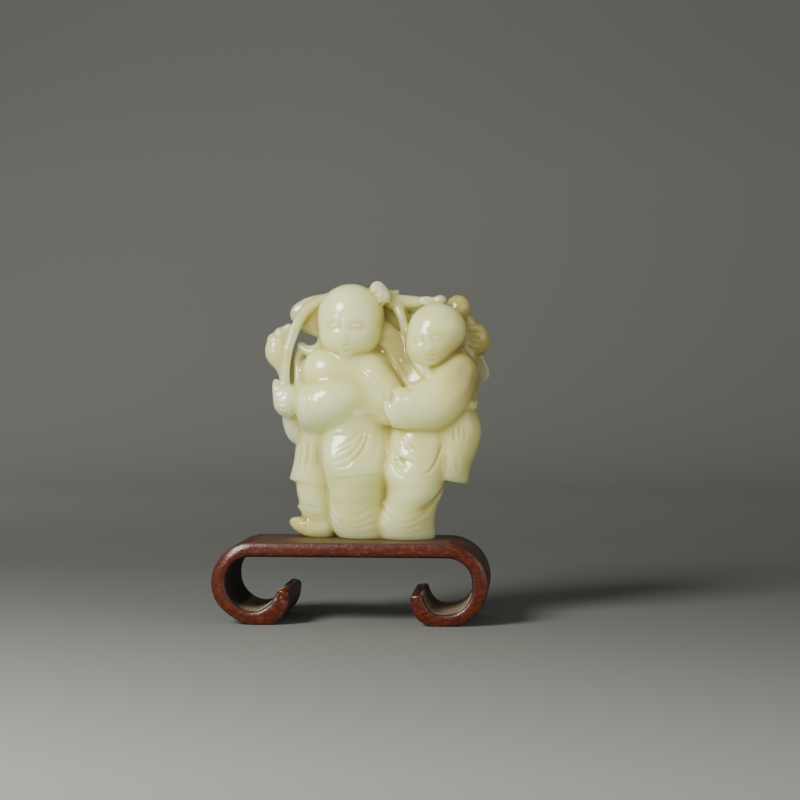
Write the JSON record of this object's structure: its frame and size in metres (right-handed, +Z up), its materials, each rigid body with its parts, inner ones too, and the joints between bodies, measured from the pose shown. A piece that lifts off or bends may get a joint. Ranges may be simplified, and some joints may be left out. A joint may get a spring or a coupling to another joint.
{
  "type": "jade figure group on stand",
  "caption": "Carved pale jade group of two standing boys with a lotus spray, leaf and fruit, on a low hardwood stand with ends curled under.",
  "frame": {"origin": "middle of the stand's underside, on the surface it stands on", "axes": "+Z up, the boys face -Y, +X to the viewer's right"},
  "size_m": [0.0651, 0.025, 0.0813],
  "materials": {
    "jade": "polished pale celadon jade, waxy, slightly translucent",
    "hardwood": "dark red-brown hardwood, satin polish, unpolished inside the scrolls"
  },
  "bodies": {
    "root": {"jade_boys": "jade", "scroll_stand": "hardwood"}
  },
  "joints": []
}
